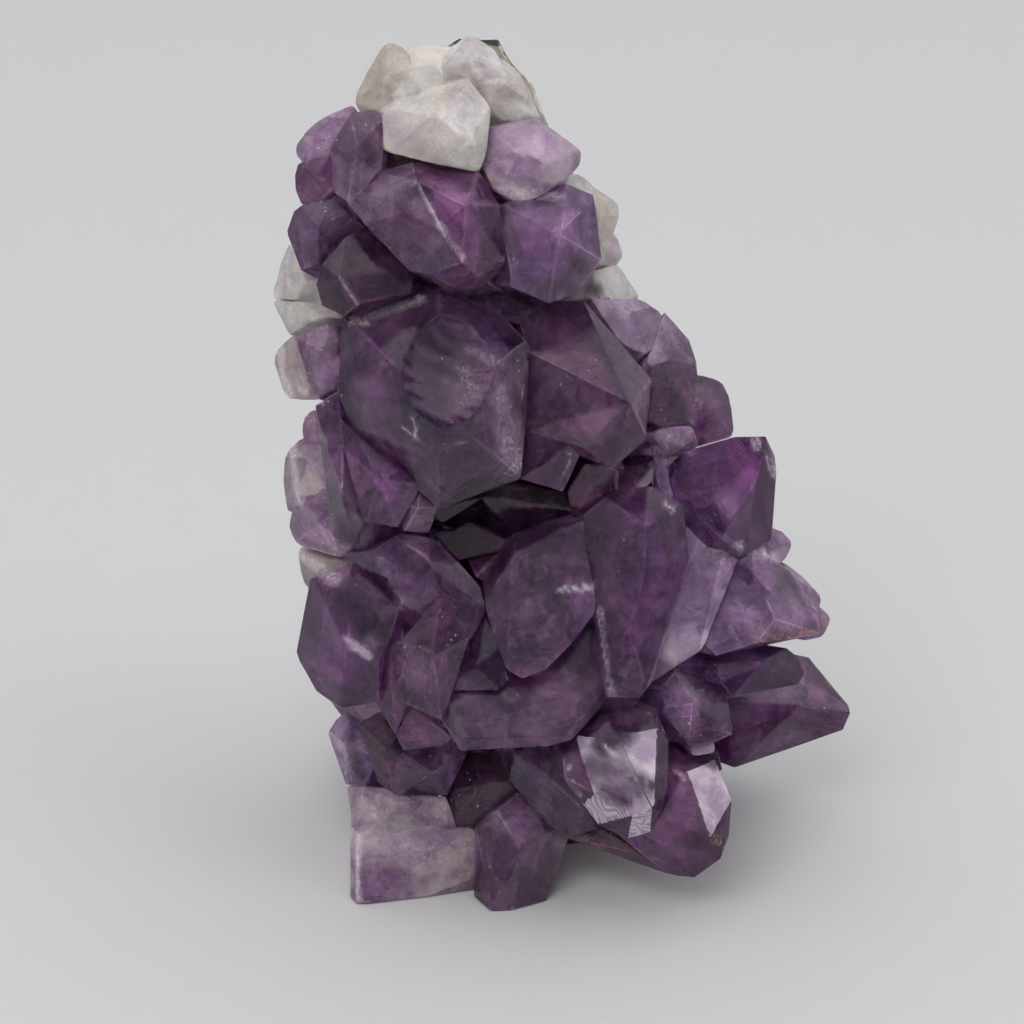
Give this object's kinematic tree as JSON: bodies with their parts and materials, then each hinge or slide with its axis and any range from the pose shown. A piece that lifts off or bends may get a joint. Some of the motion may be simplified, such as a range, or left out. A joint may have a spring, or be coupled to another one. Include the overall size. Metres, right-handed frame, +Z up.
{
  "type": "amethyst crystal cluster",
  "caption": "Natural amethyst crystal cluster with milky quartz at its top and a dark rind at its back, standing on a flat cut base.",
  "frame": {"origin": "on the flat base, under the middle of the piece's box", "axes": "+Z up along the cluster's length, -Y towards the front where the large crystals point, +X to the right seen from the front"},
  "size_m": [0.0858, 0.0682, 0.1203],
  "materials": {
    "amethyst": "natural quartz crystal faces, see-through purple to milky white",
    "host_rock": "rough dark green-black rind with pale chalcedony at its edge"
  },
  "bodies": {
    "root": {"crystal_druse": "amethyst", "host_rock_rind": "host_rock"}
  },
  "joints": []
}
